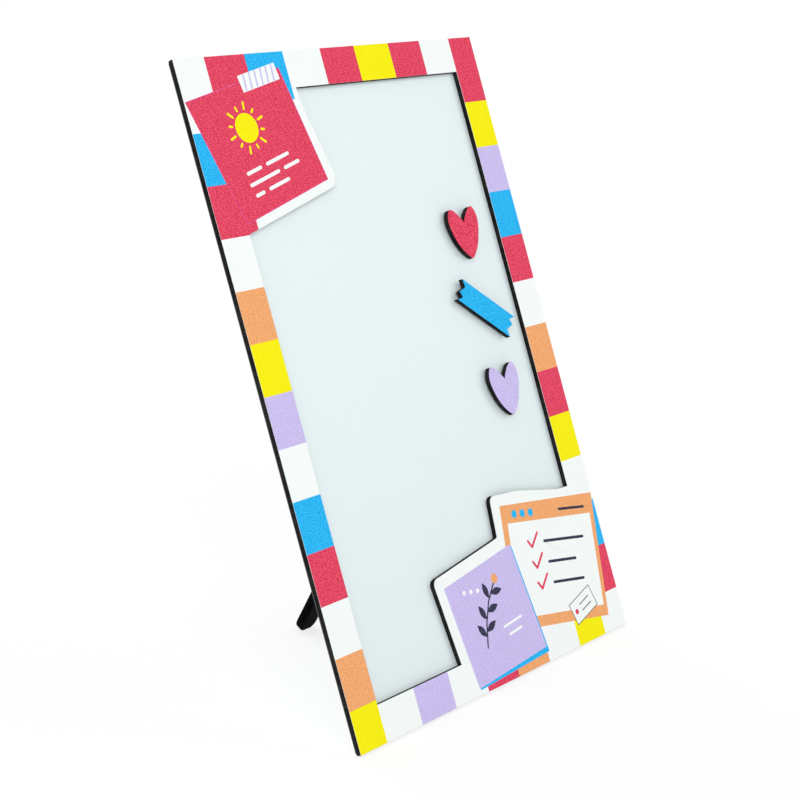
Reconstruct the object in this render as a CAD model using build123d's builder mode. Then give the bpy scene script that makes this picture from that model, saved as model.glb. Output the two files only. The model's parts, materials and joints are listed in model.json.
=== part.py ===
"""Desk memo board: a printed frame on a white steel panel, a folding rear leg and three magnets.

Millimetres, +Z up. The board's face looks along -Y and leans back, away from the viewer.
The origin is the middle of the footprint, on the table: X across the board, Y from the
board's bottom edge back to the leg's foot. On the board itself, a point is given by x
across, v up along the board from its bottom edge, and w out of the back face of the
fibreboard frame, positive towards the viewer.
"""
import math
import os

from build123d import *

os.makedirs("parts", exist_ok=True)

# Board outline and stance
board_width = 195.0
board_height = 300.0
lean_angle = 17.5

# Thickness of each layer, from the steel to the print
steel_thickness = 0.5
tape_thickness = 0.15
board_thickness = 2.5
print_thickness = 0.15

# Frame window: an even border with two die-cut notes that reach into it
border = 16.6
upper_note_top_x = 66.9
upper_note_bend_x = 68.9
upper_note_bend_drop = 30.2
upper_note_corner_x = 77.8
upper_note_corner_drop = 61.7
upper_note_side_drop = 77.1
upper_note_radius = 6.0
lower_note_side_height = 74.6
lower_note_flat_inset = 25.5
lower_note_flat_height = 75.1
lower_note_rise_inset = 56.5
lower_note_rise_height = 81.6
lower_note_top = 83.1
lower_note_top_inset = 74.6
lower_note_step_height = 63.8
lower_note_step_inset = 76.6
lower_note_low_height = 56.4
lower_note_low_inset = 126.0
lower_note_foot_inset = 121.8
lower_note_radius = 3.2
lower_note_step_radius = 1.2
note_bend_radius = 40.0

# Steel panel and the tape that holds it
steel_inset = 0.2
steel_corner_radius = 1.0
tape_width = 9.0
tape_edge_gap = 4.0

# Leg, its moulded base and their hinge
hinge_height = 133.0
leg_open_angle = 50.0
leg_width = 11.0
leg_thickness = 4.6
leg_edge_fillet = 1.0
knuckle_radius = 3.2
knuckle_gap = 0.4
stop_gap = 0.1
pin_radius = 1.0
pin_running_clearance = 0.05
pin_head_radius = 1.9
pin_head_thickness = 0.8
pin_tail = 0.6
ear_thickness = 3.0
ear_radius = 4.0
ear_root_half = 8.0
ear_side_gap = 0.3
base_width = 40.0
base_below_hinge = 24.0
base_above_hinge = 18.0
base_thickness = 2.0
base_corner_radius = 5.0
base_edge_fillet = 0.6
pad_thickness = 0.8
pad_inset = 1.5

# Magnets: a die-cut fibreboard shape on a disc magnet
disc_radius = 5.0
disc_thickness = 1.0
adhesive_radius = 4.5
heart_width = 20.6
heart_height = 24.8
heart_tip_radius = 1.0
red_heart_inset = 42.1
red_heart_v = 205.3
lilac_heart_inset = 43.0
lilac_heart_v = 128.3
heart_disc_lift = 1.0
strip_inset = 42.2
strip_v = 168.4
strip_length = 38.0
strip_width = 11.2
strip_turn = -38.0
strip_notch = 3.0
strip_tooth_shift = 1.2
strip_disc_spacing = 20.0

# Directions: up the board, and out of its face
lean = math.radians(lean_angle)
lean_sin = math.sin(lean)
lean_cos = math.cos(lean)
face_normal = (0, -lean_cos, lean_sin)
half_width = board_width / 2

# Levels along w
print_front = board_thickness + print_thickness
panel_front = -tape_thickness
panel_back = panel_front - steel_thickness
pad_back = panel_back - pad_thickness
base_back = pad_back - base_thickness
hinge_level = base_back - knuckle_gap - knuckle_radius
disc_front = panel_front + disc_thickness
magnet_board_back = disc_front + tape_thickness
magnet_board_front = magnet_board_back + board_thickness

# Leg geometry: its middle plane meets the table at the middle of the rounded foot
leg_slope = math.radians(leg_open_angle - lean_angle)
hinge_raw_y = hinge_height * lean_sin - hinge_level * lean_cos
hinge_z = hinge_height * lean_cos + hinge_level * lean_sin
leg_length = hinge_z / math.cos(leg_slope)
leg_tail = (hinge_level - base_back) / -math.sin(math.radians(leg_open_angle)) + leg_thickness

# The origin is half-way between the print's lowest front corner and the foot's rear tip
front_raw_y = -print_front * lean_cos
foot_raw_y = hinge_raw_y + leg_length * math.sin(leg_slope) + leg_thickness / 2 * math.cos(leg_slope)
shift_y = -(front_raw_y + foot_raw_y) / 2


def board_plane(level, v=0.0, x=0.0, turn=0.0):
    """A plane parallel to the board at w = level, origin at x, v, turned by degrees in itself."""
    y = v * lean_sin - level * lean_cos + shift_y
    z = v * lean_cos + level * lean_sin
    across = math.cos(math.radians(turn))
    along = math.sin(math.radians(turn))
    return Plane(origin=(x, y, z), x_dir=(across, along * lean_sin, along * lean_cos), z_dir=face_normal)


hinge_y = hinge_raw_y + shift_y


def side_plane(x):
    """A plane square to X through the hinge: its x is up the board, its y out of the face."""
    return Plane(origin=(x, hinge_y, hinge_z), x_dir=(0, lean_sin, lean_cos), z_dir=(1, 0, 0))


def window_outline():
    """Corners of the window, anticlockwise from the lower left, each with its fillet radius."""
    left = -half_width + border
    right = half_width - border
    top = board_height - border
    return [
        (left, border, 0),
        (half_width - lower_note_foot_inset, border, 0),
        (half_width - lower_note_low_inset, lower_note_low_height, lower_note_radius),
        (half_width - lower_note_step_inset, lower_note_step_height, lower_note_step_radius),
        (half_width - lower_note_top_inset, lower_note_top, lower_note_radius),
        (half_width - lower_note_rise_inset, lower_note_rise_height, note_bend_radius),
        (half_width - lower_note_flat_inset, lower_note_flat_height, note_bend_radius),
        (right, lower_note_side_height, 0),
        (right, top, 0),
        (-half_width + upper_note_top_x, top, 0),
        (-half_width + upper_note_bend_x, board_height - upper_note_bend_drop, note_bend_radius),
        (-half_width + upper_note_corner_x, board_height - upper_note_corner_drop, upper_note_radius),
        (left, board_height - upper_note_side_drop, 0),
    ]


def frame_profile():
    """The frame's face: the board's outline less the window with its rounded note corners."""
    outline = window_outline()
    with BuildSketch() as window:
        with BuildLine():
            Polyline([(x, v) for x, v, radius in outline], close=True)
        make_face()
        for x, v, radius in outline:
            if radius > 0:
                nearest = window.vertices().sort_by_distance((x, v, 0))[0]
                fillet(nearest, radius)
    with BuildSketch() as face:
        with Locations((0, board_height / 2)):
            Rectangle(board_width, board_height)
        add(window.sketch, mode=Mode.SUBTRACT)
    return face.sketch


def heart_profile():
    """A hand-cut heart, taller than wide; its points are shares of its half width and height."""
    shares_left = [(-0.35, 0.81), (-0.76, 0.99), (-0.98, 0.74), (-0.95, 0.15), (-0.60, -0.50)]
    shares_right = [(0.58, -0.50), (0.92, 0.12), (1.0, 0.68), (0.78, 1.0), (0.38, 0.82)]
    left_side = [(x * heart_width / 2, y * heart_height / 2) for x, y in shares_left]
    right_side = [(x * heart_width / 2, y * heart_height / 2) for x, y in shares_right]
    cleft = (0.05 * heart_width / 2, 0.41 * heart_height / 2)
    tip = (0.02 * heart_width / 2, -heart_height / 2)
    with BuildSketch() as heart:
        with BuildLine():
            Spline(cleft, *left_side, tip)
            Spline(tip, *right_side, cleft)
        make_face()
        fillet(heart.vertices().sort_by(Axis.Y)[0], heart_tip_radius)
    return heart.sketch


def strip_profile():
    """A short piece of tape, each end torn to three teeth, the same when turned half round."""
    half = strip_length / 2
    edge = strip_width / 2
    notch = half - strip_notch
    torn_end = [
        (half, -edge),
        (notch, -edge / 2),
        (half, strip_tooth_shift),
        (notch, edge / 2),
        (half, edge),
    ]
    points = torn_end + [(-x, -y) for x, y in torn_end]
    with BuildSketch() as strip:
        with BuildLine():
            Polyline(points, close=True)
        make_face()
    return strip.sketch


# Fibreboard frame, with its window cut right through
with BuildPart() as frame_board:
    with BuildSketch(board_plane(0)):
        add(frame_profile())
    extrude(amount=board_thickness)
frame_board.part.label = "frame_board"
export_step(frame_board.part, "parts/frame_board.step")

# Printed laminate on the frame's face
with BuildPart() as frame_print:
    with BuildSketch(board_plane(board_thickness)):
        add(frame_profile())
    extrude(amount=print_thickness)
frame_print.part.label = "frame_print"
export_step(frame_print.part, "parts/frame_print.step")

# Steel panel behind the frame
with BuildPart() as steel_panel:
    with BuildSketch(board_plane(panel_back, board_height / 2)):
        RectangleRounded(board_width - 2 * steel_inset, board_height - 2 * steel_inset, steel_corner_radius)
    extrude(amount=steel_thickness)
steel_panel.part.label = "steel_panel"
export_step(steel_panel.part, "parts/steel_panel.step")

# Four strips of double-sided tape between the frame and the steel
tape_middle = tape_edge_gap + tape_width / 2
upright_length = board_height - 2 * tape_edge_gap
level_length = board_width - 2 * (tape_edge_gap + tape_width) - 2 * tape_edge_gap
with BuildPart() as frame_tape:
    with BuildSketch(board_plane(panel_front, board_height / 2)):
        with Locations((-half_width + tape_middle, 0), (half_width - tape_middle, 0)):
            Rectangle(tape_width, upright_length)
        with Locations((0, -board_height / 2 + tape_middle), (0, board_height / 2 - tape_middle)):
            Rectangle(level_length, tape_width)
    extrude(amount=tape_thickness)
frame_tape.part.label = "frame_tape"
export_step(frame_tape.part, "parts/frame_tape.step")

# Foam pad that sticks the leg's base to the steel
base_length = base_below_hinge + base_above_hinge
base_middle = hinge_height + (base_above_hinge - base_below_hinge) / 2
with BuildPart() as leg_base_pad:
    with BuildSketch(board_plane(pad_back, base_middle)):
        RectangleRounded(base_width - 2 * pad_inset, base_length - 2 * pad_inset, base_corner_radius - pad_inset)
    extrude(amount=pad_thickness)
leg_base_pad.part.label = "leg_base_pad"
export_step(leg_base_pad.part, "parts/leg_base_pad.step")

# Moulded base: a plate with two ears for the hinge pin
ear_inner = leg_width / 2 + ear_side_gap
ear_outer = ear_inner + ear_thickness
plate_offset = base_back - hinge_level
with BuildPart() as leg_base:
    with BuildSketch(board_plane(base_back, base_middle)):
        RectangleRounded(base_width, base_length, base_corner_radius)
    extrude(amount=base_thickness)
    rear_rim = leg_base.faces().sort_by(Axis(origin=(0, 0, 0), direction=face_normal))[0].edges()
    fillet(rear_rim, base_edge_fillet)
    for ear_start in (ear_inner, -ear_outer):
        with BuildSketch(side_plane(ear_start)):
            with BuildLine():
                Polyline(
                    (-ear_root_half, plate_offset),
                    (-ear_radius, 0),
                    (ear_radius, 0),
                    (ear_root_half, plate_offset),
                    (ear_root_half, plate_offset + base_thickness / 2),
                    (-ear_root_half, plate_offset + base_thickness / 2),
                    close=True,
                )
            make_face()
            Circle(ear_radius)
        extrude(amount=ear_thickness)
    with BuildSketch(side_plane(-ear_outer)):
        Circle(pin_radius)
    extrude(amount=2 * ear_outer, mode=Mode.SUBTRACT)
leg_base.part.label = "leg_base"
export_step(leg_base.part, "parts/leg_base.step")

# Hinge pin with one rivet head
with BuildPart() as hinge_pin:
    with BuildSketch(side_plane(-ear_outer - pin_tail)):
        Circle(pin_radius)
    extrude(amount=2 * ear_outer + pin_tail)
    with BuildSketch(side_plane(ear_outer)):
        Circle(pin_head_radius)
    extrude(amount=pin_head_thickness)
    chamfer(hinge_pin.faces().sort_by(Axis.X)[0].edges(), pin_radius / 4)
    fillet(hinge_pin.faces().sort_by(Axis.X)[-1].edges(), pin_head_thickness / 2)
hinge_pin.part.label = "hinge_pin"
export_step(hinge_pin.part, "parts/hinge_pin.step")

# Leg: a tongue with a round foot, flat where it meets the table, and a heel that stops
# against the base when the leg is open
leg_plane = Plane(
    origin=(0, hinge_y, hinge_z),
    x_dir=(1, 0, 0),
    z_dir=(0, math.cos(leg_slope), math.sin(leg_slope)),
)
tongue_length = leg_length - leg_width / 2
with BuildPart() as leg:
    with BuildSketch(leg_plane):
        with Locations((0, (tongue_length - leg_tail) / 2)):
            Rectangle(leg_width, tongue_length + leg_tail)
        with Locations((0, tongue_length)):
            Circle(leg_width / 2)
    extrude(amount=leg_thickness / 2, both=True)
    long_rims = leg.faces().filter_by(leg_plane).edges().filter_by(GeomType.CIRCLE)
    side_rims = leg.edges().filter_by(Axis(origin=(0, 0, 0), direction=leg_plane.y_dir))
    fillet(long_rims + side_rims, leg_edge_fillet)
    with BuildSketch(side_plane(-leg_width / 2)):
        Circle(knuckle_radius)
    extrude(amount=leg_width)
    with BuildSketch(side_plane(-leg_width / 2)):
        Circle(pin_radius + pin_running_clearance)
    extrude(amount=leg_width, mode=Mode.SUBTRACT)
    split(bisect_by=board_plane(base_back - stop_gap), keep=Keep.BOTTOM)
    split(bisect_by=Plane.XY, keep=Keep.TOP)
leg.part.label = "leg"
export_step(leg.part, "parts/leg.step")


def build_magnet(name, disc_name, v, x, turn, profile, discs):
    """One magnet: its fibreboard shape, the print on it, its discs and their adhesive."""
    layers = [
        (f"{name}_board", profile, magnet_board_back, board_thickness),
        (f"{name}_print", profile, magnet_board_front, print_thickness),
    ]
    for label, outline, level, thickness in layers:
        with BuildPart() as layer:
            with BuildSketch(board_plane(level, v, x, turn)):
                add(outline)
            extrude(amount=thickness)
        layer.part.label = label
        export_step(layer.part, f"parts/{label}.step")
    rounds = [
        (f"{name}_{disc_name}", disc_radius, panel_front, disc_thickness),
        (f"{name}_adhesive", adhesive_radius, disc_front, tape_thickness),
    ]
    for label, radius, level, thickness in rounds:
        with BuildPart() as layer:
            with BuildSketch(board_plane(level, v, x, turn)):
                with Locations(*discs):
                    Circle(radius)
            extrude(amount=thickness)
        layer.part.label = label
        export_step(layer.part, f"parts/{label}.step")


# Three magnets on the panel
heart_disc = [(0, heart_disc_lift)]
strip_discs = [(-strip_disc_spacing / 2, 0), (strip_disc_spacing / 2, 0)]
red_heart_x = half_width - red_heart_inset
lilac_heart_x = half_width - lilac_heart_inset
strip_x = half_width - strip_inset
build_magnet("red_heart", "magnet", red_heart_v, red_heart_x, 0, heart_profile(), heart_disc)
build_magnet("lilac_heart", "magnet", lilac_heart_v, lilac_heart_x, 0, heart_profile(), heart_disc)
build_magnet("blue_strip", "magnets", strip_v, strip_x, strip_turn, strip_profile(), strip_discs)
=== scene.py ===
"""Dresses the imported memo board: its printed frame, white steel panel, magnets and leg.

The board stands in the part's own frame, in metres, +Z up, its face towards -Y. A place on
it is given by x across from the middle, v up from the bottom edge and w forwards from the
fibreboard's back face. The shapes of the print are written in millimetres.
"""
from __future__ import annotations

import json
import logging
import math
from dataclasses import dataclass, field
from enum import Enum
from typing import Callable, Optional, Sequence

import bpy
from mathutils import Euler, Matrix, Vector

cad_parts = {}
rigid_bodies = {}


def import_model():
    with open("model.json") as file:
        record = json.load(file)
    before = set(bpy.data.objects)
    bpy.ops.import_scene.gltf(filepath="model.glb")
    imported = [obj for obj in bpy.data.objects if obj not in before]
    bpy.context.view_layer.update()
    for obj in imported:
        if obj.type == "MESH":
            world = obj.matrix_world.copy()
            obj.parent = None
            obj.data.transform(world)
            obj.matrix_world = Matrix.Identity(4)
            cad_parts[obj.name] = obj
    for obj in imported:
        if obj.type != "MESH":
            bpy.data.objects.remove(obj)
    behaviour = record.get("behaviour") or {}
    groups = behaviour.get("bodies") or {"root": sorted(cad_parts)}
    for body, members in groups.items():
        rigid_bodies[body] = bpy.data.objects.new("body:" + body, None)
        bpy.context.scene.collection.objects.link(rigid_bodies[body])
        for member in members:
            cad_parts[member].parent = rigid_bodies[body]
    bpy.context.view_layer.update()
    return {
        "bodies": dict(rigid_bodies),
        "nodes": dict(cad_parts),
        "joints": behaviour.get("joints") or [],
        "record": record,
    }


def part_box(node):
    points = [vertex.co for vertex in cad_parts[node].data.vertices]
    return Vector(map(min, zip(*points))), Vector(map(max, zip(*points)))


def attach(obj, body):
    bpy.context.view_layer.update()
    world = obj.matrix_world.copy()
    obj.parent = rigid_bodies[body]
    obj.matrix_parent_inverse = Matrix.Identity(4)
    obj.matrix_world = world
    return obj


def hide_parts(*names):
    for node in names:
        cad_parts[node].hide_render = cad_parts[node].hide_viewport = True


MM = 0.001
DISC_SIDES = 16
LOG = logging.getLogger("memo_board")

Point = tuple[float, float]
Span = tuple[float, float]
Colour = tuple[float, float, float]
Place = tuple[float, float, float]
Socket = bpy.types.NodeSocket

BLACK: Colour = (0.0, 0.0, 0.0)
WHITE: Colour = (1.0, 1.0, 1.0)


def srgb(red: int, green: int, blue: int) -> Colour:
    """Turn a colour as it is seen on a screen into linear light.

    Args:
        red: Red, from 0 to 255.
        green: Green, from 0 to 255.
        blue: Blue, from 0 to 255.

    Returns:
        The three linear values, from 0 to 1.
    """

    def linear(value: int) -> float:
        """Undo the screen's curve for one channel."""
        share = value / 255
        return share / 12.92 if share <= 0.04045 else ((share + 0.055) / 1.055) ** 2.4

    return linear(red), linear(green), linear(blue)


def mixed(colour: Colour, other: Colour, share: float) -> Colour:
    """Blend two colours, with share of the second."""
    return tuple(a + (b - a) * share for a, b in zip(colour, other))


class Ink(Enum):
    """The flat colours of the print, in the order of the print's material slots."""

    WHITE = 0
    CRIMSON = 1
    BLUE = 2
    YELLOW = 3
    LILAC = 4
    ORANGE = 5
    NAVY = 6
    PINK = 7


INK_COLOURS: dict[Ink, Colour] = {
    Ink.WHITE: srgb(246, 251, 249),
    Ink.CRIMSON: srgb(241, 57, 94),
    Ink.BLUE: srgb(0, 189, 254),
    Ink.YELLOW: srgb(249, 239, 0),
    Ink.LILAC: srgb(210, 197, 246),
    Ink.ORANGE: srgb(252, 175, 112),
    Ink.NAVY: srgb(30, 32, 68),
    Ink.PINK: srgb(240, 84, 150),
}

# How much painted shade and painted glint the emboss grain puts on each ink; the rest take 1.
EMBOSS_SHADE_AND_GLINT_SHARES: dict[Ink, float] = {
    Ink.WHITE: 0.13,
    Ink.BLUE: 0.8,
    Ink.YELLOW: 0.15,
    Ink.LILAC: 0.6,
    Ink.ORANGE: 0.7,
}


class Nodes:
    """A short way to write one material's node tree."""

    def __init__(self, name: str) -> None:
        """Start a material with a Principled shader and Object coordinates.

        Args:
            name: The material's name.
        """
        self.material = bpy.data.materials.new(name)
        self.material.use_nodes = True
        self.tree = self.material.node_tree
        self.shader = self.tree.nodes["Principled BSDF"]
        self.place = self.tree.nodes.new("ShaderNodeTexCoord").outputs["Object"]

    def add(self, kind: str, **settings: object) -> bpy.types.Node:
        """Add a node and set its properties.

        Args:
            kind: The node's type.
            **settings: Its properties by name.

        Returns:
            The node.
        """
        node = self.tree.nodes.new(kind)
        for key, value in settings.items():
            setattr(node, key, value)
        return node

    def link(self, source: Socket, target: Socket) -> None:
        """Join two sockets."""
        self.tree.links.new(source, target)

    def gloss(self, level: float) -> None:
        """Set one specular level all over."""
        self.shader.inputs["Specular IOR Level"].default_value = level

    def roughness(self, level: float) -> None:
        """Set one roughness all over."""
        self.shader.inputs["Roughness"].default_value = level

    def mapped(self, stretch: Sequence[float], flat: Optional[Matrix] = None) -> Socket:
        """Stretch the object's own coordinates, laid flat first where flat is given.

        Args:
            stretch: Scale along the three axes.
            flat: What lays the board flat, so that the axes are x, v and w in metres.

        Returns:
            The mapped coordinates.
        """
        place = self.place
        if flat is not None:
            laid = self.add("ShaderNodeMapping", vector_type="POINT")
            laid.inputs["Rotation"].default_value = flat.to_euler()
            laid.inputs["Location"].default_value = flat.to_translation()
            self.link(place, laid.inputs["Vector"])
            place = laid.outputs["Vector"]
        node = self.add("ShaderNodeMapping", vector_type="POINT")
        node.inputs["Scale"].default_value = list(stretch)
        self.link(place, node.inputs["Vector"])
        return node.outputs["Vector"]

    def noise(self, where: Socket, scale: float, detail: float = 3.0) -> Socket:
        """Add a noise texture.

        Args:
            where: Its coordinates.
            scale: Cells in a metre.
            detail: Octaves.

        Returns:
            The noise's value.
        """
        node = self.add("ShaderNodeTexNoise")
        node.inputs["Scale"].default_value = scale
        node.inputs["Detail"].default_value = detail
        self.link(where, node.inputs["Vector"])
        return node.outputs["Fac"]

    def combined(self, operation: str, first: Socket, second: Socket | float) -> Socket:
        """Add a math node on two values.

        Args:
            operation: What it does with them.
            first: The first value.
            second: The second value, a socket or a number.

        Returns:
            The result.
        """
        node = self.add("ShaderNodeMath", operation=operation)
        self.link(first, node.inputs[0])
        if isinstance(second, Socket):
            self.link(second, node.inputs[1])
        else:
            node.inputs[1].default_value = second
        return node.outputs["Value"]

    def ramp(self, value: Socket, span: Span, first: Colour, second: Colour) -> None:
        """Colour the surface from one colour to another as a value rises.

        Args:
            value: The value.
            span: Where the first colour ends and where the second begins.
            first: The colour at the low end.
            second: The colour at the high end.
        """
        node = self.add("ShaderNodeValToRGB")
        node.color_ramp.elements[0].position = span[0]
        node.color_ramp.elements[0].color = (*first, 1.0)
        node.color_ramp.elements[1].position = span[1]
        node.color_ramp.elements[1].color = (*second, 1.0)
        self.link(value, node.inputs["Fac"])
        self.link(node.outputs["Color"], self.shader.inputs["Base Color"])

    def cover(self, share: Socket, colour: Colour) -> None:
        """Lay another colour over the surface's own.

        Args:
            share: How much of it shows, from 0 to 1.
            colour: The other colour.
        """
        own = self.shader.inputs["Base Color"].links[0].from_socket
        node = self.add("ShaderNodeMix", data_type="RGBA")
        # A colour mix has its share at socket 0 and its two colours at 6 and 7.
        factor, under, over = (node.inputs[index] for index in (0, 6, 7))
        over.default_value = (*colour, 1.0)
        self.link(share, factor)
        self.link(own, under)
        self.link(node.outputs[2], self.shader.inputs["Base Color"])

    def bump(self, height: Socket, depth: float) -> None:
        """Raise the surface in its shading.

        Args:
            height: The relief, from 0 to 1.
            depth: Its greatest height in metres.
        """
        node = self.add("ShaderNodeBump")
        node.inputs["Distance"].default_value = depth
        node.inputs["Strength"].default_value = 1.0
        self.link(height, node.inputs["Height"])
        self.link(node.outputs["Normal"], self.shader.inputs["Normal"])

    def roughness_between(self, value: Socket, span: Span) -> None:
        """Let the roughness follow a value.

        Args:
            value: The value, from 0 to 1.
            span: The roughness at 0 and at 1.
        """
        node = self.add("ShaderNodeMapRange")
        node.inputs["To Min"].default_value = span[0]
        node.inputs["To Max"].default_value = span[1]
        self.link(value, node.inputs["Value"])
        self.link(node.outputs["Result"], self.shader.inputs["Roughness"])


@dataclass(frozen=True)
class PrintFinish:
    """Matt laminated print: flat ink under a film embossed like fine canvas, with painted emboss shade
    and glints.
    """

    ink: Ink
    flat: Matrix
    cells_per_metre: float = 2300.0
    speck_fineness: float = 1.2
    thread_stretch: float = 0.4
    thread_share: float = 0.6
    octaves: float = 1.0
    shade_and_glint_span: Span = (0.4, 0.6)
    emboss_depth: float = 0.00005
    shade: float = 0.3
    glint: float = 0.06
    roughness: float = 0.7
    gloss: float = 0.08

    def build(self) -> bpy.types.Material:
        """Make the material of this ink.

        Returns:
            The material.
        """
        nodes = Nodes(f"ink_{self.ink.name.lower()}")
        colour = INK_COLOURS[self.ink]
        face = nodes.mapped((1, 1, 1), self.flat)
        threads = nodes.mapped((self.thread_stretch, 1, 1), self.flat)
        streaks = nodes.noise(threads, self.cells_per_metre, self.octaves)
        specks = nodes.noise(face, self.cells_per_metre * self.speck_fineness, self.octaves)
        thread_part = nodes.combined("MULTIPLY", streaks, self.thread_share)
        speck_part = nodes.combined("MULTIPLY", specks, 1.0 - self.thread_share)
        grain = nodes.combined("ADD", thread_part, speck_part)
        share = EMBOSS_SHADE_AND_GLINT_SHARES.get(self.ink, 1.0)
        # The grain's low end is painted shade in the emboss's hollows, its high end a painted glint on
        # its ridges.
        dark = mixed(colour, BLACK, self.shade * share)
        light = mixed(colour, WHITE, self.glint * share)
        nodes.ramp(grain, self.shade_and_glint_span, dark, light)
        nodes.bump(grain, self.emboss_depth)
        nodes.roughness(self.roughness)
        nodes.gloss(self.gloss)
        return nodes.material


@dataclass(frozen=True)
class CharredFibreboard:
    """Laser-cut fibreboard: nearly black, matt, with fine scorch lines through its thickness."""

    flat: Matrix
    soot: Colour = srgb(13, 13, 14)
    scorch: Colour = srgb(52, 50, 49)
    lines_per_metre: float = 1400.0
    line_stretch: float = 0.04
    patches_per_metre: float = 130.0
    scorch_span: Span = (0.16, 0.5)
    line_depth: float = 0.00012
    roughness: float = 0.75
    gloss: float = 0.12

    def build(self) -> bpy.types.Material:
        """Make the material.

        Returns:
            The material.
        """
        nodes = Nodes("charred_fibreboard")
        lines = nodes.noise(nodes.mapped((1, 1, self.line_stretch), self.flat), self.lines_per_metre)
        patches = nodes.noise(nodes.place, self.patches_per_metre, 2.0)
        shade = nodes.combined("MULTIPLY", lines, patches)
        nodes.ramp(shade, self.scorch_span, self.soot, self.scorch)
        nodes.bump(lines, self.line_depth)
        nodes.roughness(self.roughness)
        nodes.gloss(self.gloss)
        return nodes.material


@dataclass(frozen=True)
class CoatedSteel:
    """Smooth white coil coating on steel, with a faint orange peel and bare cut sides."""

    flat: Matrix
    colour: Colour = srgb(226, 237, 238)
    clouded: Colour = (0.72, 0.8, 0.84)
    cloud_share: float = 0.06
    clouds_per_metre: float = 9.0
    cloud_span: Span = (0.3, 0.7)
    peel_per_metre: float = 420.0
    peel_depth: float = 0.000012
    bare: Colour = srgb(96, 98, 100)
    bare_from: float = 0.0972
    roughness: Span = (0.3, 0.36)
    gloss: float = 0.25

    def build(self) -> bpy.types.Material:
        """Make the material.

        Returns:
            The material.
        """
        nodes = Nodes("white_coated_steel")
        peel = nodes.noise(nodes.place, self.peel_per_metre, 1.0)
        cloud = nodes.noise(nodes.place, self.clouds_per_metre, 2.0)
        shaded = mixed(self.colour, self.clouded, self.cloud_share)
        nodes.ramp(cloud, self.cloud_span, shaded, self.colour)
        split = nodes.add("ShaderNodeSeparateXYZ")
        nodes.link(nodes.mapped((1, 1, 1), self.flat), split.inputs["Vector"])
        across = nodes.combined("ABSOLUTE", split.outputs["X"], 0.0)
        nodes.cover(nodes.combined("GREATER_THAN", across, self.bare_from), self.bare)
        nodes.bump(peel, self.peel_depth)
        nodes.roughness_between(cloud, self.roughness)
        nodes.gloss(self.gloss)
        return nodes.material


@dataclass(frozen=True)
class MouldedPlastic:
    """Black moulded plastic with a fine spark-eroded grain, a little paler where it is rubbed."""

    colour: Colour = srgb(5, 7, 8)
    rubbed: Colour = (0.1, 0.1, 0.11)
    rub_share: float = 0.06
    rubs_per_metre: float = 60.0
    rub_span: Span = (0.35, 0.75)
    grain_per_metre: float = 2600.0
    grain_depth: float = 0.00002
    roughness: Span = (0.48, 0.6)
    gloss: float = 0.01

    def build(self) -> bpy.types.Material:
        """Make the material.

        Returns:
            The material.
        """
        nodes = Nodes("black_moulded_plastic")
        grain = nodes.noise(nodes.place, self.grain_per_metre, 2.0)
        rub = nodes.noise(nodes.place, self.rubs_per_metre)
        nodes.ramp(rub, self.rub_span, self.colour, mixed(self.colour, self.rubbed, self.rub_share))
        nodes.bump(grain, self.grain_depth)
        nodes.roughness_between(rub, self.roughness)
        nodes.gloss(self.gloss)
        return nodes.material


@dataclass(frozen=True)
class PlainMetal:
    """Drawn or plated metal with fine lines along it, some darkened with painted shade."""

    name: str
    colour: Colour
    rough: float
    line_shade: Colour = (0.1, 0.1, 0.1)
    line_shade_share: float = 0.25
    lines_per_metre: float = 2500.0
    line_stretch: float = 0.05
    line_span: Span = (0.2, 0.8)
    rough_spread: Span = (0.8, 1.3)

    def build(self) -> bpy.types.Material:
        """Make the material.

        Returns:
            The material.
        """
        nodes = Nodes(self.name)
        lines = nodes.noise(nodes.mapped((self.line_stretch, 1, 1)), self.lines_per_metre, 2.0)
        # The lines' low end is darkened with painted shade.
        nodes.ramp(lines, self.line_span, mixed(self.colour, self.line_shade, self.line_shade_share), self.colour)
        smoothest, roughest = self.rough_spread
        nodes.roughness_between(lines, (self.rough * smoothest, self.rough * roughest))
        nodes.shader.inputs["Metallic"].default_value = 1.0
        return nodes.material


@dataclass(frozen=True)
class SoftAdhesive:
    """White foam or film adhesive with fine pores, their hollows darkened with painted shade."""

    name: str
    colour: Colour
    pore_shade: Colour = (0.4, 0.4, 0.38)
    pore_shade_share: float = 0.3
    pores_per_metre: float = 1800.0
    pore_span: Span = (0.3, 0.7)
    pore_depth: float = 0.00008
    roughness: float = 0.8

    def build(self) -> bpy.types.Material:
        """Make the material.

        Returns:
            The material.
        """
        nodes = Nodes(self.name)
        pores = nodes.noise(nodes.place, self.pores_per_metre)
        # The pores' hollows, low in the bump, are darkened with painted shade.
        nodes.ramp(pores, self.pore_span, mixed(self.colour, self.pore_shade, self.pore_shade_share), self.colour)
        nodes.bump(pores, self.pore_depth)
        nodes.roughness(self.roughness)
        return nodes.material


def deselect_all() -> None:
    """Leave no object selected, in object mode."""
    if bpy.context.mode != "OBJECT":
        bpy.ops.object.mode_set(mode="OBJECT")
    bpy.ops.object.select_all(action="DESELECT")


def make_active(piece: bpy.types.Object) -> None:
    """Select one object alone and make it the active one.

    Args:
        piece: The object.
    """
    deselect_all()
    piece.select_set(True)
    bpy.context.view_layer.objects.active = piece


def select_faces(piece: bpy.types.Object, wanted: Callable[[bpy.types.MeshPolygon], bool]) -> int:
    """Select the faces that pass a test, with their edges and corners, in object mode.

    Args:
        piece: The mesh object.
        wanted: The test on one face.

    Returns:
        How many faces are selected.
    """
    mesh = piece.data
    mesh.vertices.foreach_set("select", [False] * len(mesh.vertices))
    mesh.edges.foreach_set("select", [False] * len(mesh.edges))
    chosen = [wanted(face) for face in mesh.polygons]
    mesh.polygons.foreach_set("select", chosen)
    corners: set[int] = set()
    sides: set[tuple[int, int]] = set()
    for face, kept in zip(mesh.polygons, chosen):
        if kept:
            corners.update(face.vertices)
            sides.update(face.edge_keys)
    for index in corners:
        mesh.vertices[index].select = True
    for edge in mesh.edges:
        edge.select = edge.key in sides
    return sum(chosen)


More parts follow.
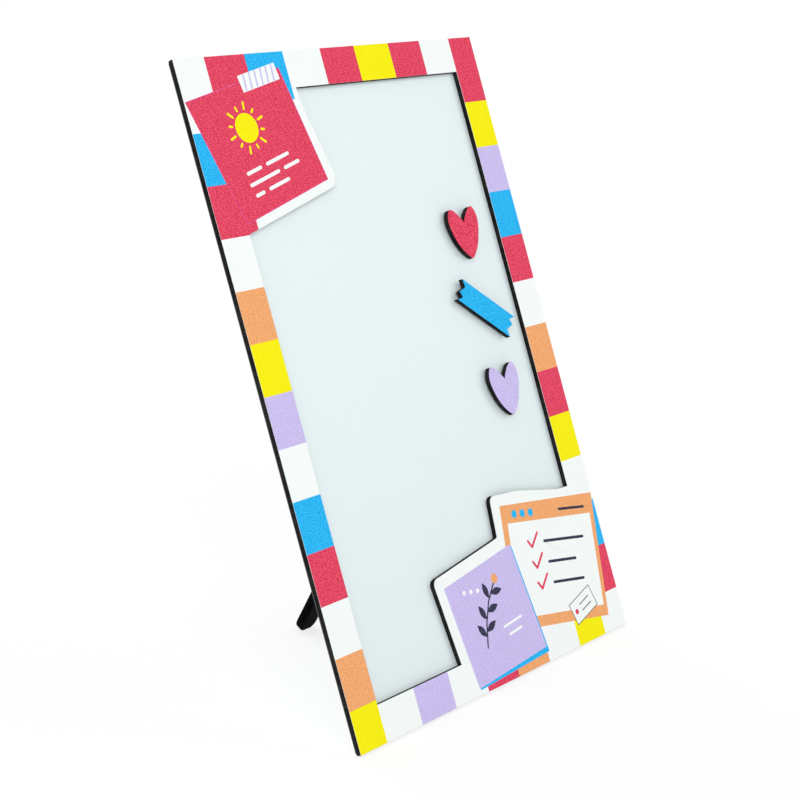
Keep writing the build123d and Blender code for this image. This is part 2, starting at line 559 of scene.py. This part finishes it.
@dataclass
class BoardSpace:
    """The leaning plane of the board, and how a flat piece is set on it.

    The lean is in degrees and the fibreboard's thickness in millimetres. The matrix sets a
    flat piece on the board, and flat lays it down again.
    """

    lean: float = 17.5
    thickness: float = 2.5
    matrix: Matrix = field(init=False)
    flat: Matrix = field(init=False)

    def __post_init__(self) -> None:
        """Read the board's place from the frame."""
        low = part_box("frame_board")[0]
        back_edge_y = low.y + self.thickness * MM * math.cos(math.radians(self.lean))
        turn = Euler((math.radians(90 - self.lean), 0, 0)).to_matrix().to_4x4()
        self.matrix = Matrix.Translation((0, back_edge_y, 0)) @ turn
        self.flat = self.matrix.inverted()

    def settle(self, piece: bpy.types.Object) -> None:
        """Move a piece made flat, in metres, onto the board."""
        self.carry(piece, self.matrix)

    def lay_flat(self, piece: bpy.types.Object) -> None:
        """Lay a piece that stands on the board flat, in metres."""
        self.carry(piece, self.flat)

    @staticmethod
    def carry(piece: bpy.types.Object, move: Matrix) -> None:
        """Move an object and apply its place to its mesh.

        Args:
            piece: The object.
            move: How it moves.
        """
        make_active(piece)
        piece.matrix_world = move @ piece.matrix_world
        bpy.ops.object.transform_apply(location=True, rotation=True, scale=True)
        deselect_all()


def box_shape(left: float, bottom: float, right: float, top: float) -> list[Point]:
    """Corners of an upright rectangle, anticlockwise."""
    return [(left, bottom), (right, bottom), (right, top), (left, top)]


def turned_box(centre: Point, width: float, height: float, turn: float) -> list[Point]:
    """Corners of a turned rectangle, anticlockwise.

    Args:
        centre: Its middle.
        width: Its width.
        height: Its height.
        turn: Its turn, anticlockwise, in degrees.

    Returns:
        Four corners.
    """
    cosine = math.cos(math.radians(turn))
    sine = math.sin(math.radians(turn))
    corners = []
    for x, y in box_shape(-width / 2, -height / 2, width / 2, height / 2):
        corners.append((centre[0] + x * cosine - y * sine, centre[1] + x * sine + y * cosine))
    return corners


def round_shape(centre: Point, radius: float, sides: int) -> list[Point]:
    """Corners of a many-sided disc, anticlockwise.

    Args:
        centre: Its middle.
        radius: Its radius.
        sides: How many sides it has.

    Returns:
        Its corners.
    """
    angles = [2 * math.pi * step / sides for step in range(sides)]
    return [(centre[0] + radius * math.cos(a), centre[1] + radius * math.sin(a)) for a in angles]


@dataclass
class Card:
    """A printed card's own axes, from its lower left corner."""

    corner: Point
    turn: float

    def at(self, x: float, y: float) -> Point:
        """A point of the card, in the board's axes.

        Args:
            x: Its place along the card.
            y: Its place up the card.

        Returns:
            Its x and v on the board.
        """
        cosine = math.cos(math.radians(self.turn))
        sine = math.sin(math.radians(self.turn))
        return self.corner[0] + x * cosine - y * sine, self.corner[1] + x * sine + y * cosine

    def disc(self, x: float, y: float, radius: float) -> list[Point]:
        """A disc on the card."""
        return round_shape(self.at(x, y), radius, DISC_SIDES)

    def leaf(self, x: float, y: float, length: float, width: float, turn: float) -> list[Point]:
        """A pointed leaf on the card that grows from a point.

        Args:
            x: The stalk's end along the card.
            y: The stalk's end up the card.
            length: The leaf's length.
            width: Its greatest width.
            turn: Where it points, anticlockwise from the card's x, in degrees.

        Returns:
            Its corners, anticlockwise.
        """
        cosine = math.cos(math.radians(turn))
        sine = math.sin(math.radians(turn))
        shares = (0.0, 0.2, 0.45, 0.7, 0.9, 1.0)
        lower = [(share * length, -width / 2 * math.sin(math.pi * share)) for share in shares]
        upper = [(along, -side) for along, side in reversed(lower[1:-1])]
        return [self.at(x + a * cosine - b * sine, y + a * sine + b * cosine) for a, b in lower + upper]


@dataclass
class PrintedFrame:
    """The laminate on the frame's face, cut into its colours.

    The border's blocks are listed from the bottom up and from left to right. The columns are
    where the top and bottom blocks meet, from the board's left edge.
    """

    space: BoardSpace
    width: float = 195.0
    height: float = 300.0
    thickness: float = 0.15
    border: float = 16.6
    pitch: float = 22.65
    first_row: float = 18.8
    top_columns: tuple[float, ...] = (17.5, 40.9, 64.3, 88.0, 110.5, 134.2, 156.5, 180.3)
    bottom_columns: tuple[float, ...] = (16.0, 39.8, 62.9, 86.0, 108.6, 132.1, 156.5, 177.5)
    left_inks: tuple[Ink, ...] = (
        Ink.YELLOW, Ink.ORANGE, Ink.WHITE, Ink.CRIMSON, Ink.BLUE, Ink.WHITE, Ink.LILAC,
        Ink.YELLOW, Ink.ORANGE, Ink.WHITE, Ink.CRIMSON, Ink.BLUE, Ink.WHITE,
    )
    right_inks: tuple[Ink, ...] = (
        Ink.WHITE, Ink.CRIMSON, Ink.BLUE, Ink.WHITE, Ink.YELLOW, Ink.CRIMSON, Ink.ORANGE,
        Ink.WHITE, Ink.CRIMSON, Ink.BLUE, Ink.LILAC, Ink.YELLOW, Ink.CRIMSON,
    )
    top_inks: tuple[Ink, ...] = (
        Ink.WHITE, Ink.CRIMSON, Ink.BLUE, Ink.WHITE, Ink.CRIMSON, Ink.YELLOW, Ink.CRIMSON,
        Ink.WHITE, Ink.CRIMSON,
    )
    bottom_inks: tuple[Ink, ...] = (
        Ink.YELLOW, Ink.WHITE, Ink.LILAC, Ink.WHITE, Ink.CRIMSON, Ink.ORANGE, Ink.WHITE,
        Ink.YELLOW, Ink.WHITE,
    )
    merge_distance: float = 0.00001
    cut_threshold: float = 0.0000001
    level_angle: float = 0.01
    least_facing: float = 0.5
    end_steps: int = 6
    piece: Optional[bpy.types.Object] = field(default=None, init=False)
    finishes: dict[Ink, bpy.types.Material] = field(default_factory=dict, init=False)

    def build(self, nodes: dict[str, bpy.types.Object]) -> bpy.types.Object:
        """Make the print, cut into its colours.

        Args:
            nodes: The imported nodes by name.

        Returns:
            The finished print.
        """
        self.piece = self.front_face(nodes["frame_print"])
        for ink in Ink:
            self.finishes[ink] = PrintFinish(ink, self.space.flat).build()
            self.piece.data.materials.append(self.finishes[ink])
        self.paint_blocks()
        UpperNote().paint_on(self)
        LowerNotes().paint_on(self)
        self.tidy_faces()
        self.thicken()
        self.space.settle(self.piece)
        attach(self.piece, "board")
        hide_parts("frame_print")
        return self.piece

    def front_face(self, node: bpy.types.Object) -> bpy.types.Object:
        """Copy the print's node and keep its front face alone, laid flat.

        Args:
            node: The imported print.

        Returns:
            A flat, single-sided piece.
        """
        sheet = bpy.data.objects.new("frame_print_face", node.data.copy())
        bpy.context.scene.collection.objects.link(sheet)
        sheet.data.materials.clear()
        self.space.lay_flat(sheet)
        make_active(sheet)
        bpy.ops.mesh.customdata_custom_splitnormals_clear()
        bpy.ops.object.mode_set(mode="EDIT")
        bpy.ops.mesh.select_all(action="SELECT")
        bpy.ops.mesh.remove_doubles(threshold=self.merge_distance)
        bpy.ops.object.mode_set(mode="OBJECT")
        half_way = (self.space.thickness + self.thickness / 2) * MM
        facing = self.least_facing
        select_faces(sheet, lambda face: face.normal.z < facing or face.center.z < half_way)
        self.in_edit(lambda: bpy.ops.mesh.delete(type="FACE"))
        select_faces(sheet, lambda face: True)
        self.in_edit(lambda: bpy.ops.mesh.dissolve_limited(angle_limit=self.level_angle))
        return sheet

    @staticmethod
    def in_edit(action: Callable[[], object]) -> None:
        """Run an operator in edit mode on the active object's selected faces.

        Args:
            action: What runs the operator.
        """
        bpy.context.tool_settings.mesh_select_mode = (False, False, True)
        bpy.ops.object.mode_set(mode="EDIT")
        action()
        bpy.ops.object.mode_set(mode="OBJECT")

    def paint(self, outline: Sequence[Point], ink: Ink) -> None:
        """Cut a convex outline into the print and give what lies inside it an ink.

        Args:
            outline: Corners in millimetres, anticlockwise.
            ink: The colour.
        """
        corners = [Vector((x * MM, v * MM)) for x, v in outline]
        sides = list(zip(corners, corners[1:] + corners[:1]))
        inward = [Vector((a.y - b.y, b.x - a.x)).normalized() for a, b in sides]
        low = Vector((min(c.x for c in corners), min(c.y for c in corners)))
        high = Vector((max(c.x for c in corners), max(c.y for c in corners)))
        mesh = self.piece.data
        make_active(self.piece)

        def near(face: bpy.types.MeshPolygon) -> bool:
            """Whether a face may reach the outline's box."""
            xs, ys = zip(*(mesh.vertices[index].co.xy for index in face.vertices))
            return min(xs) < high.x and max(xs) > low.x and min(ys) < high.y and max(ys) > low.y

        def inside(face: bpy.types.MeshPolygon, count: int) -> bool:
            """Whether a face's middle is inside the first sides of the outline."""
            pairs = zip(sides[:count], inward[:count])
            return all((face.center.xy - side[0]).dot(normal) > 0 for side, normal in pairs)

        for step, (side, normal) in enumerate(zip(sides, inward)):
            chosen = select_faces(self.piece, lambda face: near(face) and inside(face, step))
            if not chosen:
                return
            start = (side[0].x, side[0].y, self.face_level)
            across = (normal.x, normal.y, 0.0)
            self.in_edit(
                lambda: bpy.ops.mesh.bisect(
                    plane_co=start, plane_no=across, threshold=self.cut_threshold
                )
            )
        for face in mesh.polygons:
            if near(face) and inside(face, len(sides)):
                face.material_index = ink.value

    @property
    def face_level(self) -> float:
        """The flat face's height in metres."""
        return (self.space.thickness + self.thickness) * MM

    def paint_blocks(self) -> None:
        """Paint the border's coloured blocks, up each side and along the top and bottom."""
        left = -self.width / 2
        right = self.width / 2
        for inks, near_x, far_x in (
            (self.left_inks, left, left + self.border),
            (self.right_inks, right - self.border, right),
        ):
            for row, ink in enumerate(inks):
                low = 0 if row == 0 else self.first_row + (row - 1) * self.pitch
                high = self.height if row == len(inks) - 1 else self.first_row + row * self.pitch
                if ink is not Ink.WHITE:
                    self.paint(box_shape(near_x, low, far_x, high), ink)
        for inks, columns, low, high in (
            (self.top_inks, self.top_columns, self.height - self.border, self.height),
            (self.bottom_inks, self.bottom_columns, 0, self.border),
        ):
            edges = (0.0, *columns, self.width)
            for ink, start, end in zip(inks, edges[:-1], edges[1:]):
                if ink is not Ink.WHITE:
                    self.paint(box_shape(left + start, low, left + end, high), ink)

    def stroke(self, start: Point, end: Point, width: float, ink: Ink) -> None:
        """Paint a straight stroke with round ends.

        Args:
            start: One end.
            end: The other end.
            width: Its width in millimetres.
            ink: The colour.
        """
        heading = math.atan2(end[1] - start[1], end[0] - start[0])
        outline = []
        for point, begin in ((start, heading + math.pi / 2), (end, heading - math.pi / 2)):
            for step in range(self.end_steps):
                angle = begin + math.pi * step / (self.end_steps - 1)
                x = point[0] + width / 2 * math.cos(angle)
                outline.append((x, point[1] + width / 2 * math.sin(angle)))
        self.paint(outline, ink)

    def tidy_faces(self) -> None:
        """Join the faces of one colour again, so that only the colours' own edges stay."""
        make_active(self.piece)
        select_faces(self.piece, lambda face: True)
        self.in_edit(
            lambda: bpy.ops.mesh.dissolve_limited(
                angle_limit=self.level_angle, delimit={"MATERIAL"}
            )
        )

    def thicken(self) -> None:
        """Give the print its thickness, back from its face."""
        make_active(self.piece)
        solid = self.piece.modifiers.new("thickness", "SOLIDIFY")
        solid.thickness = self.thickness * MM
        solid.offset = -1.0
        bpy.ops.object.modifier_apply(modifier=solid.name)
        for face in self.piece.data.polygons:
            if abs(face.normal.z) < self.least_facing:
                face.material_index = Ink.WHITE.value
        self.piece.name = "printed_laminate"


@dataclass
class UpperNote:
    """The upper note's print: a crimson card held by striped tape, with a sun and dashes."""

    card: tuple[Point, ...] = ((-80.7, 227.2), (-26.2, 241.1), (-38.3, 292.7), (-96.8, 281.4))
    axes: Card = field(default_factory=lambda: Card(corner=(-80.7, 227.2), turn=14.2))
    block_right: float = -75.2
    block_low: float = 222.6
    block_high: float = 245.3
    strip_left: float = -56.6
    strip_right: float = -33.2
    strip_low: float = 278.2
    window_top: float = 283.4
    outline_width: float = 0.4
    tape_middle: Point = (-51.5, 289.2)
    tape_size: Point = (24.0, 7.6)
    tape_turn: float = 11.0
    stripes: int = 6
    stripe_spaces: float = 6.6
    stripe_width: float = 0.9
    stripe_share: float = 0.97
    stripe_slant: float = 14.0
    sun_middle: Point = (24.0, 36.0)
    sun_radius: float = 6.6
    sun_sides: int = 24
    rays: int = 12
    first_ray: float = 8.0
    ray_gap: float = 1.7
    ray_reaches: Span = (4.6, 3.2)
    ray_width: float = 1.1
    dash_top: float = 18.5
    dash_pitch: float = 5.0
    dash_width: float = 1.6
    dash_rows: tuple[tuple[Point, ...], ...] = (
        ((13.0, 21.5), (26.0, 40.0)),
        ((12.0, 30.5), (35.0, 44.0)),
        ((12.5, 17.0), (21.5, 34.0)),
    )

    def paint_on(self, frame: PrintedFrame) -> None:
        """Paint the note over the border's blocks.

        Args:
            frame: The frame's print.
        """
        left = -frame.width / 2
        frame.paint(box_shape(left, self.block_low, self.block_right, self.block_high), Ink.CRIMSON)
        strip = box_shape(self.strip_left, self.strip_low, self.strip_right, self.window_top)
        frame.paint(strip, Ink.BLUE)
        frame.paint(self.card, Ink.CRIMSON)
        for start, end in zip(self.card, self.card[1:] + self.card[:1]):
            frame.stroke(start, end, self.outline_width, Ink.PINK)
        self.paint_tape(frame)
        self.paint_sun(frame)
        for row, dashes in enumerate(self.dash_rows):
            height = self.dash_top - row * self.dash_pitch
            for start, end in dashes:
                ends = self.axes.at(start, height), self.axes.at(end, height)
                frame.stroke(*ends, self.dash_width, Ink.WHITE)

    def paint_sun(self, frame: PrintedFrame) -> None:
        """Paint a yellow sun with rays, long and short in turn.

        Args:
            frame: The frame's print.
        """
        x, y = self.sun_middle
        frame.paint(round_shape(self.axes.at(x, y), self.sun_radius, self.sun_sides), Ink.YELLOW)
        for ray in range(self.rays):
            angle = math.radians(ray * 360 / self.rays + self.first_ray)
            ends = []
            for reach in (self.ray_gap, self.ray_reaches[ray % 2]):
                along = self.sun_radius + reach
                ends.append(self.axes.at(x + along * math.cos(angle), y + along * math.sin(angle)))
            frame.stroke(*ends, self.ray_width, Ink.YELLOW)

    def paint_tape(self, frame: PrintedFrame) -> None:
        """Paint the white tape at the card's top edge and its slanted stripes.

        Args:
            frame: The frame's print.
        """
        width, height = self.tape_size
        frame.paint(turned_box(self.tape_middle, width, height, self.tape_turn), Ink.WHITE)
        along = Card(corner=self.tape_middle, turn=self.tape_turn)
        for stripe in range(self.stripes):
            middle = along.at((stripe - (self.stripes - 1) / 2) * width / self.stripe_spaces, 0.0)
            slant = self.tape_turn - self.stripe_slant
            shape = turned_box(middle, self.stripe_width, height * self.stripe_share, slant)
            frame.paint(shape, Ink.LILAC)


@dataclass
class LowerNotes:
    """The lower notes' print: a sheet with a checked list, and a lilac card on a blue one."""

    sheet: tuple[Point, ...] = ((18.5, 19.7), (85.9, 7.8), (97.0, 67.6), (28.1, 77.3))
    page: tuple[Point, ...] = ((22.0, 24.4), (84.3, 13.5), (92.2, 58.3), (30.7, 68.2))
    page_axes: Card = field(default_factory=lambda: Card(corner=(22.0, 24.4), turn=-9.9))
    backing: tuple[Point, ...] = ((-16.4, 2.2), (36.1, 4.6), (28.9, 58.0), (-14.0, 40.0))
    card: tuple[Point, ...] = ((-16.9, 3.0), (34.9, 7.2), (28.1, 58.8), (-22.8, 51.3))
    card_axes: Card = field(default_factory=lambda: Card(corner=(-16.9, 3.0), turn=6.5))
    buttons: int = 3
    first_button: Point = (6.5, 48.8)
    button_pitch: float = 6.0
    button_radius: float = 1.9
    rule: tuple[Point, Point] = ((40.0, 48.9), (59.0, 48.9))
    rule_width: float = 1.3
    first_tick: Point = (13.5, 34.5)
    next_tick: Point = (1.5, -10.0)
    tick: tuple[Point, ...] = ((0.0, 0.8), (2.6, -2.2), (7.6, 4.4))
    tick_width: float = 1.3
    line_lead: float = 12.0
    line_ends: tuple[float, ...] = (55.0, 47.0, 51.0)
    line_width: float = 1.4
    tag_middle: Point = (47.5, 1.5)
    tag_size: Point = (18.2, 10.6)
    tag_turn: float = 17.0
    tag_rim: float = 0.4
    eyelet: Point = (3.0, 5.3)
    eyelet_radius: float = 1.3
    tag_lines: tuple[float, ...] = (3.6, 7.0)
    tag_line_span: Span = (7.0, 15.0)
    tag_line_width: float = 0.5
    stem: tuple[Point, ...] = ((14.0, 14.0), (18.5, 24.0), (24.5, 32.5), (32.0, 39.0))
    stem_width: float = 0.9
    leaf_size: Point = (8.2, 3.6)
    leaves: tuple[tuple[float, float, float], ...] = (
        (16.0, 18.5, 118.0),
        (17.0, 20.5, 18.0),
        (19.5, 25.5, 108.0),
        (21.5, 28.5, 4.0),
        (25.5, 33.5, 98.0),
        (27.5, 35.2, -6.0),
    )
    berry: Point = (33.2, 40.4)
    berry_radius: float = 2.3
    dashes: tuple[tuple[Point, Point], ...] = (
        ((29.0, 18.0), (42.0, 18.0)),
        ((31.0, 13.5), (40.0, 13.5)),
    )
    dash_width: float = 1.2
    dots: tuple[Point, ...] = ((11.0, 42.0), (15.5, 40.8), (20.0, 39.6))
    dot_radius: float = 1.1

    def paint_on(self, frame: PrintedFrame) -> None:
        """Paint both notes over the border's blocks.

        Args:
            frame: The frame's print.
        """
        frame.paint(self.sheet, Ink.ORANGE)
        frame.paint(self.page, Ink.WHITE)
        self.paint_list(frame)
        self.paint_tag(frame)
        frame.paint(self.backing, Ink.BLUE)
        frame.paint(self.card, Ink.LILAC)
        self.paint_sprig(frame)
        self.paint_dashes(frame)

    def paint_list(self, frame: PrintedFrame) -> None:
        """Paint the buttons and a rule in the sheet's bar, and the ticked lines on the page.

        Args:
            frame: The frame's print.
        """
        axes = self.page_axes
        button_x, button_y = self.first_button
        for button in range(self.buttons):
            x = button_x + button * self.button_pitch
            frame.paint(axes.disc(x, button_y, self.button_radius), Ink.BLUE)
        frame.stroke(axes.at(*self.rule[0]), axes.at(*self.rule[1]), self.rule_width, Ink.NAVY)
        for row, line_end in enumerate(self.line_ends):
            left = self.first_tick[0] + row * self.next_tick[0]
            height = self.first_tick[1] + row * self.next_tick[1]
            start, knee, tip = [axes.at(left + x, height + y) for x, y in self.tick]
            frame.stroke(start, knee, self.tick_width, Ink.CRIMSON)
            frame.stroke(knee, tip, self.tick_width, Ink.CRIMSON)
            line_start = axes.at(left + self.line_lead, height)
            frame.stroke(line_start, axes.at(line_end, height), self.line_width, Ink.NAVY)

    def paint_tag(self, frame: PrintedFrame) -> None:
        """Paint a plain tag with an eyelet over the page's lower edge.

        Args:
            frame: The frame's print.
        """
        middle = self.page_axes.at(*self.tag_middle)
        width, height = self.tag_size
        rim = 2 * self.tag_rim
        shape = turned_box(middle, width, height, self.tag_turn)
        frame.paint(turned_box(middle, width + rim, height + rim, self.tag_turn), Ink.NAVY)
        frame.paint(shape, Ink.WHITE)
        tag = Card(corner=shape[0], turn=self.tag_turn)
        frame.paint(tag.disc(*self.eyelet, self.eyelet_radius), Ink.CRIMSON)
        start, end = self.tag_line_span
        for y in self.tag_lines:
            frame.stroke(tag.at(start, y), tag.at(end, y), self.tag_line_width, Ink.NAVY)

    def paint_sprig(self, frame: PrintedFrame) -> None:
        """Paint a leafy sprig with an orange berry on the lilac card.

        Args:
            frame: The frame's print.
        """
        axes = self.card_axes
        for start, end in zip(self.stem[:-1], self.stem[1:]):
            frame.stroke(axes.at(*start), axes.at(*end), self.stem_width, Ink.NAVY)
        for x, y, turn in self.leaves:
            frame.paint(axes.leaf(x, y, *self.leaf_size, turn), Ink.NAVY)
        frame.paint(axes.disc(*self.berry, self.berry_radius), Ink.ORANGE)

    def paint_dashes(self, frame: PrintedFrame) -> None:
        """Paint a few white dashes and dots on the lilac card.

        Args:
            frame: The frame's print.
        """
        axes = self.card_axes
        for start, end in self.dashes:
            frame.stroke(axes.at(*start), axes.at(*end), self.dash_width, Ink.WHITE)
        for x, y in self.dots:
            frame.paint(axes.disc(x, y, self.dot_radius), Ink.WHITE)


@dataclass(frozen=True)
class Lamp:
    """A square area lamp that faces the object."""

    name: str
    place: Place
    watts: float
    side: float = 1.2
    aim: Place = (0.0, 0.0, 0.14)

    def build(self) -> None:
        """Add the lamp to the scene."""
        lamp = bpy.data.lights.new(self.name, "AREA")
        lamp.size = self.side
        lamp.energy = self.watts
        holder = bpy.data.objects.new(self.name, lamp)
        holder.location = self.place
        heading = Vector(self.aim) - Vector(self.place)
        holder.rotation_euler = heading.to_track_quat("-Z", "Y").to_euler()
        bpy.context.scene.collection.objects.link(holder)


@dataclass
class Studio:
    """The floor, the lamps and the camera, none of them part of the object.

    The lamps are a large soft key by the camera, a fill at its right and one behind the object.
    """

    target: Place = (0.00014, -0.00736, 0.12666)
    distance: float = 0.83301
    azimuth: float = -48.317
    elevation: float = 13.121
    roll: float = -2.1
    lens: float = 81.156
    sensor: float = 36.0
    clip: Span = (0.01, 50.0)
    world_colour: Colour = (0.98, 0.99, 1.0)
    world_strength: float = 0.45
    floor_size: float = 12.0
    floor_drop: float = 0.0002
    floor_colour: Colour = (0.92, 0.92, 0.92)
    floor_roughness: float = 0.9
    floor_lift: float = 0.22
    shadow_reach: float = 0.6
    shadow_share: float = 0.36
    lamps: tuple[Lamp, ...] = (
        Lamp("key", (-1.2, -1.35, 1.05), 17.0),
        Lamp("fill", (1.1, -1.4, 1.0), 8.6),
        Lamp("back", (0.4, 1.6, 1.3), 13.0),
    )

    def build(self) -> None:
        """Make the world, the floor, the lamps and the camera."""
        self.make_world()
        self.make_floor()
        for lamp in self.lamps:
            lamp.build()
        self.make_camera()

    def make_world(self) -> None:
        """White where the camera, metal or glass sees it, and a soft even light elsewhere."""
        world = bpy.data.worlds.new("studio_world")
        bpy.context.scene.world = world
        world.use_nodes = True
        tree = world.node_tree
        tree.nodes.clear()
        output = tree.nodes.new("ShaderNodeOutputWorld")
        soft = tree.nodes.new("ShaderNodeBackground")
        soft.inputs["Color"].default_value = (*self.world_colour, 1.0)
        soft.inputs["Strength"].default_value = self.world_strength
        seen = tree.nodes.new("ShaderNodeBackground")
        seen.inputs["Color"].default_value = (*WHITE, 1.0)
        seen.inputs["Strength"].default_value = 1.0
        mix = tree.nodes.new("ShaderNodeMixShader")
        tree.links.new(self.direct_rays(tree), mix.inputs["Fac"])
        tree.links.new(soft.outputs["Background"], mix.inputs[1])
        tree.links.new(seen.outputs["Background"], mix.inputs[2])
        tree.links.new(mix.outputs["Shader"], output.inputs["Surface"])

    @staticmethod
    def direct_rays(tree: bpy.types.NodeTree) -> Socket:
        """Tell rays from the camera, a reflection or a transmission from the others.

        Args:
            tree: The node tree to add to.

        Returns:
            A value of 1 for these rays and 0 for others.
        """
        rays = tree.nodes.new("ShaderNodeLightPath")
        direct = rays.outputs["Is Camera Ray"]
        for kind in ("Is Glossy Ray", "Is Transmission Ray"):
            node = tree.nodes.new("ShaderNodeMath")
            node.operation = "MAXIMUM"
            tree.links.new(direct, node.inputs[0])
            tree.links.new(rays.outputs[kind], node.inputs[1])
            direct = node.outputs["Value"]
        return direct

    def make_floor(self) -> None:
        """A plain floor that keeps the object's shadow and is white everywhere else."""
        deselect_all()
        bpy.ops.mesh.primitive_plane_add(size=self.floor_size, location=(0, 0, -self.floor_drop))
        floor = bpy.context.active_object
        floor.name = "studio_floor"
        floor.data.materials.append(self.floor_material())
        deselect_all()

    def floor_material(self) -> bpy.types.Material:
        """Make the floor's material.

        Returns:
            The material.
        """
        material = bpy.data.materials.new("studio_floor")
        material.use_nodes = True
        tree = material.node_tree
        shader = tree.nodes["Principled BSDF"]
        shader.inputs["Base Color"].default_value = (*self.floor_colour, 1.0)
        shader.inputs["Roughness"].default_value = self.floor_roughness
        shader.inputs["Specular IOR Level"].default_value = 0.0
        shader.inputs["Emission Color"].default_value = (*WHITE, 1.0)
        lift = tree.nodes.new("ShaderNodeMath")
        lift.operation = "MULTIPLY"
        lift.inputs[1].default_value = self.floor_lift
        tree.links.new(self.direct_rays(tree), lift.inputs[0])
        tree.links.new(lift.outputs["Value"], shader.inputs["Emission Strength"])
        white = tree.nodes.new("ShaderNodeEmission")
        white.inputs["Color"].default_value = (*WHITE, 1.0)
        white.inputs["Strength"].default_value = 1.0
        mix = tree.nodes.new("ShaderNodeMixShader")
        tree.links.new(self.whiteness(tree), mix.inputs["Fac"])
        tree.links.new(shader.outputs["BSDF"], mix.inputs[1])
        tree.links.new(white.outputs["Emission"], mix.inputs[2])
        tree.links.new(mix.outputs["Shader"], tree.nodes["Material Output"].inputs["Surface"])
        return material

    def whiteness(self, tree: bpy.types.NodeTree) -> Socket:
        """Give the share of plain white on the floor, less near the object, for direct rays alone.

        Args:
            tree: The floor's node tree.

        Returns:
            The share, from 0 to 1.
        """
        place = tree.nodes.new("ShaderNodeTexCoord").outputs["Object"]
        reach = tree.nodes.new("ShaderNodeVectorMath")
        reach.operation = "LENGTH"
        tree.links.new(place, reach.inputs[0])
        rise = tree.nodes.new("ShaderNodeMapRange")
        rise.interpolation_type = "SMOOTHSTEP"
        rise.inputs["From Max"].default_value = self.shadow_reach
        rise.inputs["To Min"].default_value = 1.0 - self.shadow_share
        rise.inputs["To Max"].default_value = 1.0
        tree.links.new(reach.outputs["Value"], rise.inputs["Value"])
        share = tree.nodes.new("ShaderNodeMath")
        share.operation = "MULTIPLY"
        tree.links.new(self.direct_rays(tree), share.inputs[0])
        tree.links.new(rise.outputs["Result"], share.inputs[1])
        return share.outputs["Value"]

    def make_camera(self) -> None:
        """Set the camera at the photograph's angle."""
        azimuth = math.radians(self.azimuth)
        elevation = math.radians(self.elevation)
        level = math.cos(elevation)
        back = Vector((math.sin(azimuth) * level, -math.cos(azimuth) * level, math.sin(elevation)))
        right = Vector((math.cos(azimuth), math.sin(azimuth), 0))
        up = back.cross(right)
        roll = math.radians(self.roll)
        rolled_right = right * math.cos(roll) + up * math.sin(roll)
        rolled_up = back.cross(rolled_right)
        camera = bpy.data.objects.new("camera", bpy.data.cameras.new("camera"))
        camera.data.lens = self.lens
        camera.data.sensor_width = self.sensor
        camera.data.clip_start, camera.data.clip_end = self.clip
        turn = Matrix((rolled_right, rolled_up, back)).transposed().to_4x4()
        camera.matrix_world = Matrix.Translation(Vector(self.target) + back * self.distance) @ turn
        bpy.context.scene.collection.objects.link(camera)
        bpy.context.scene.camera = camera


@dataclass
class Dressing:
    """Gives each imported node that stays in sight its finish."""

    space: BoardSpace
    nodes: dict[str, bpy.types.Object]
    inks: dict[Ink, bpy.types.Material]

    def build(self) -> None:
        """Assign every carried node's material."""
        charred = CharredFibreboard(self.space.flat).build()
        steel = CoatedSteel(self.space.flat).build()
        plastic = MouldedPlastic().build()
        pin = PlainMetal("pin_steel", srgb(190, 190, 192), 0.32).build()
        nickel = PlainMetal("nickel_plate", srgb(205, 205, 205), 0.18).build()
        foam = SoftAdhesive("white_foam", srgb(236, 236, 232)).build()
        film = SoftAdhesive("adhesive_film", srgb(226, 226, 220)).build()
        finishes = {
            "frame_board": charred,
            "steel_panel": steel,
            "frame_tape": film,
            "leg_base": plastic,
            "leg": plastic,
            "leg_base_pad": foam,
            "hinge_pin": pin,
        }
        for magnet, disc, ink in (
            ("red_heart", "magnet", Ink.CRIMSON),
            ("blue_strip", "magnets", Ink.BLUE),
            ("lilac_heart", "magnet", Ink.LILAC),
        ):
            finishes[f"{magnet}_board"] = charred
            finishes[f"{magnet}_{disc}"] = nickel
            finishes[f"{magnet}_adhesive"] = film
            finishes[f"{magnet}_print"] = self.inks[ink]
        for name, material in finishes.items():
            node = self.nodes[name]
            node.data.materials.clear()
            node.data.materials.append(material)
            LOG.info("dressed %s with %s", name, material.name)


def main() -> None:
    """Build the dressed board and its studio."""
    logging.basicConfig(level=logging.INFO, format="%(message)s")
    bpy.ops.object.select_all(action="SELECT")
    bpy.ops.object.delete()
    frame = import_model()
    scene = bpy.context.scene
    scene.view_settings.view_transform = "Standard"
    space = BoardSpace()
    laminate = PrintedFrame(space)
    printed = laminate.build(frame["nodes"])
    LOG.info("built %s with %d faces", printed.name, len(printed.data.polygons))
    Dressing(space, frame["nodes"], laminate.finishes).build()
    Studio().build()


if __name__ == "__main__":
    main()
